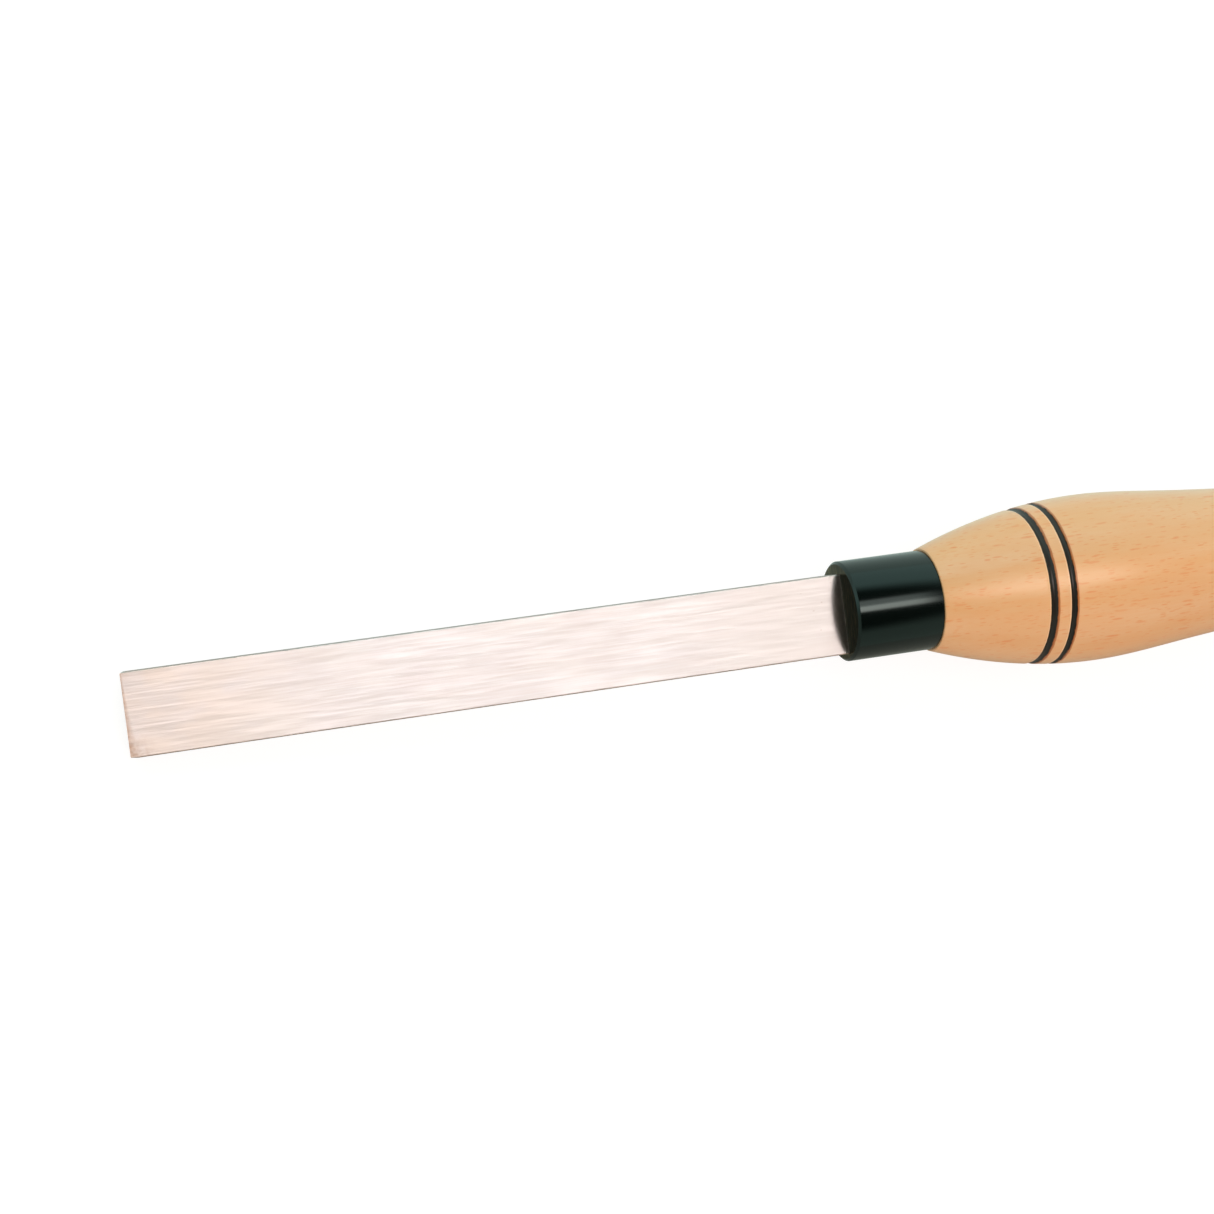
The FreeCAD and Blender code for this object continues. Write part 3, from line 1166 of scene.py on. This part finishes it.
@dataclass(frozen=True)
class Lamp:
    """A soft box over the tool, in millimetres.

    Attributes:
        name: Its name.
        place: Where its middle is.
        size: Its length along the tool and its width across.
        brightness: How bright its face is, where 1 is white.
        colour: Its colour.
        mirrored: Whether glossy surfaces show it.
        matt: Whether it lights matt surfaces.
        soft_ends: How much of its length and width fades out at each end.
    """

    name: str
    place: Triple
    size: Pair
    brightness: float
    colour: Colour = WHITE
    mirrored: bool = True
    matt: bool = True
    soft_ends: Pair = (0.0, 0.0)

    def fade(self, data: bpy.types.AreaLight) -> None:
        """Let the lamp's face fade towards its ends, as a cloth front does."""
        data.use_nodes = True
        sheet = Sheet(data.node_tree)
        parts = sheet.split(sheet.add("ShaderNodeNewGeometry").outputs["Parametric"])
        level: Feed = 1.0
        for reading, fade in zip(parts, self.soft_ends):
            if fade:
                away = sheet.math("ABSOLUTE", sheet.math("SUBTRACT", reading, 0.5))
                level = sheet.times(level, sheet.ramp(away, (0.5 - fade, 1.0), (0.5, 0.0)))
        glow = sheet.add("ShaderNodeEmission", {"Color": WHITE, "Strength": level})
        sheet.add("ShaderNodeOutputLight", {"Surface": glow.outputs["Emission"]})

    def hang(self, target: Vector) -> None:
        """Hang the lamp, facing a target in metres."""
        data = bpy.data.lights.new(self.name, "AREA")
        data.shape = "RECTANGLE"
        data.size = self.size[0] * MM
        data.size_y = self.size[1] * MM
        data.energy = self.brightness * math.pi * data.size * data.size_y
        data.color = self.colour
        lamp = bpy.data.objects.new(self.name, data)
        bpy.context.scene.collection.objects.link(lamp)
        lamp.location = Vector(self.place) * MM
        down = target - lamp.location
        side = Vector((1.0, 0.0, 0.0))
        back = -down.normalized()
        upright = back.cross(side).normalized()
        side = upright.cross(back)
        lamp.rotation_euler = Matrix((side, upright, back)).transposed().to_euler()
        if any(self.soft_ends):
            self.fade(data)
        lamp.visible_camera = False
        lamp.visible_glossy = self.mirrored
        lamp.visible_diffuse = self.matt


@dataclass(frozen=True)
class Studio:
    """The pale floor, the soft light and the camera.

    Attributes:
        lamps: The soft boxes.
        floor_size: How wide the floor is, in metres.
        floor_colour: The floor as it lights the tool.
        floor_glow: How brightly the floor shines of itself to the eye, near the tool and far off.
        glow_reach: How far off the first of these ends and the second starts, in metres.
        shaded: How much of its white to the eye the tool's shadow takes.
        gloss_share: How much of what a glossy surface shows of the floor is its two colours.
        far_floor: What a glossy surface shows of the floor behind the tool.
        near_floor: The same in front of it.
        seams: Half the width over which near turns to far, on the floor in metres, and in the
            surroundings as a share of straight across.
        ceiling: How high a direction points, as the share of straight up, where the white
            surroundings start to darken, and where they are dark.
        ceiling_light: What is left of the light there.
        far_side: The surroundings behind the tool, past the picture's top.
        near_side: The surroundings in front of it.
        target: What the lamps face, in metres.
        eye: Where the camera is, in millimetres.
        look: The camera's turn, in degrees.
        lens: Its focal length for a frame 36 mm wide, in millimetres.
    """

    lamps: tuple[Lamp, ...]
    floor_size: float = 6.0
    floor_colour: Colour = (0.55, 0.55, 0.55)
    floor_glow: Pair = (0.85, 1.0)
    glow_reach: Pair = (0.5, 1.5)
    shaded: float = 0.24
    gloss_share: float = 0.85
    far_floor: Colour = (0.71, 0.92, 0.85)
    near_floor: Colour = (0.28, 0.30, 0.25)
    seams: Pair = (0.03, 0.25)
    ceiling: Pair = (0.52, 0.80)
    ceiling_light: float = 0.02
    far_side: Colour = (0.78, 1.06, 1.01)
    near_side: Colour = (0.36, 0.44, 0.38)
    target: Triple = (0.0, 0.0, 0.015)
    eye: Triple = (-308.62, 23.18, 555.02)
    look: Triple = (1.248, -20.007, -7.860)
    lens: float = 74.21

    def lay_floor(self) -> None:
        """Lay the floor, white to the eye but for the tool's shadow."""
        bpy.ops.mesh.primitive_plane_add(size=self.floor_size, location=(0.0, 0.0, 0.0))
        floor = bpy.context.object
        floor.name = "floor"
        material = bpy.data.materials.new("pale_floor")
        material.use_nodes = True
        sheet = Sheet(material.node_tree)
        path = sheet.add("ShaderNodeLightPath").outputs
        place = sheet.add("ShaderNodeTexCoord").outputs["Object"]
        seam, _ = self.seams
        side = sheet.ramp(sheet.split(place)[1], (-seam, 0.0), (seam, 1.0))
        mirrored = sheet.add("ShaderNodeEmission", {
            "Color": sheet.mix(side, self.near_floor, self.far_floor)})
        lit = sheet.add("ShaderNodeBsdfDiffuse", {"Color": self.floor_colour})
        shown = sheet.add("ShaderNodeBsdfDiffuse", {"Color": (self.shaded,) * 3})
        away = sheet.add("ShaderNodeVectorMath", {0: place}, operation="LENGTH").outputs["Value"]
        near, far = zip(self.glow_reach, self.floor_glow)
        glow = sheet.add("ShaderNodeEmission", {
            "Color": WHITE, "Strength": sheet.ramp(away, near, far)})
        white = sheet.add("ShaderNodeAddShader", {
            0: shown.outputs["BSDF"], 1: glow.outputs["Emission"]})
        for_gloss = sheet.add("ShaderNodeMixShader", {
            "Fac": sheet.times(path["Is Glossy Ray"], self.gloss_share),
            1: lit.outputs["BSDF"], 2: mirrored.outputs["Emission"]})
        chosen = sheet.add("ShaderNodeMixShader", {
            "Fac": sheet.math("MAXIMUM", path["Is Camera Ray"], path["Is Transmission Ray"]),
            1: for_gloss.outputs["Shader"], 2: white.outputs["Shader"]})
        sheet.add("ShaderNodeOutputMaterial", {"Surface": chosen.outputs["Shader"]})
        floor.data.materials.append(material)

    def surround(self) -> None:
        """Set the surroundings: white to the eye, and white with a dark ceiling for the light."""
        world = bpy.data.worlds.new("white_studio")
        world.use_nodes = True
        sheet = Sheet(world.node_tree)
        _, across, up = sheet.split(sheet.add("ShaderNodeTexCoord").outputs["Generated"])
        start, end = self.ceiling
        open_sky = sheet.ramp(up, (start, 1.0), (end, self.ceiling_light))
        _, seam = self.seams
        side = sheet.ramp(across, (-seam, 0.0), (seam, 1.0))
        walls = sheet.mix(open_sky, (0.0, 0.0, 0.0), sheet.mix(side, self.near_side, self.far_side))
        seen = sheet.add("ShaderNodeLightPath").outputs["Is Camera Ray"]
        background = sheet.add("ShaderNodeBackground", {
            "Color": sheet.mix(seen, walls, WHITE), "Strength": 1.0})
        sheet.add("ShaderNodeOutputWorld", {"Surface": background.outputs["Background"]})
        bpy.context.scene.world = world

    def set_camera(self) -> None:
        """Set the camera at the photograph's viewing angle."""
        data = bpy.data.cameras.new("camera")
        data.sensor_width = 36.0
        data.lens = self.lens
        data.clip_start = 0.01
        data.clip_end = 20.0
        camera = bpy.data.objects.new("camera", data)
        bpy.context.scene.collection.objects.link(camera)
        camera.location = Vector(self.eye) * MM
        camera.rotation_euler = Euler([math.radians(angle) for angle in self.look])
        bpy.context.scene.camera = camera

    def build(self) -> None:
        """Set up the whole studio."""
        self.lay_floor()
        self.surround()
        for lamp in self.lamps:
            lamp.hang(Vector(self.target))
        self.set_camera()
        bpy.context.scene.view_settings.view_transform = "Standard"


OVERHEAD = (800.0, 230.0)
FILL = (1600.0, 1000.0)
LAMPS = (
    Lamp("key", (60.0, 0.0, 900.0), OVERHEAD, 2.5, (1.0, 0.90, 0.86), soft_ends=(0.14, 0.3)),
    Lamp("gleam", (60.0, 0.0, 890.0), OVERHEAD, 3.2, (1.0, 0.90, 0.86), matt=False,
         soft_ends=(0.14, 0.3)),
    Lamp("shoulder", (60.0, 170.0, 900.0), (800.0, 300.0), 1.9, (1.0, 0.95, 0.92),
         soft_ends=(0.14, 0.25)),
    Lamp("front_fill", (0.0, -1000.0, 800.0), FILL, 2.6, (1.0, 0.76, 0.68), mirrored=False),
    Lamp("back_fill", (0.0, 1000.0, 800.0), FILL, 1.95, (1.0, 0.88, 0.80), mirrored=False),
)


def main() -> None:
    """Build the pieces in order, then the studio."""
    logging.basicConfig(level=logging.INFO, format="%(name)s %(message)s")
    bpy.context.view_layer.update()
    lie = Lie.read(frame["record"], Ferrule.length)
    effects = Effects()
    handle = Handle(lie)
    steel = GroundSteel(effects, lie, -Blade.reach, Blade.width / 2, Blade.side_offset)
    Blade(lie).build(steel)
    Ferrule(lie).build(BlackAnodised(effects, lie), FacedBlack(effects, lie))
    handle.build(LacqueredBeech(effects, lie, handle.line_places()))
    Studio(LAMPS).build()


if __name__ == "__main__":
    main()
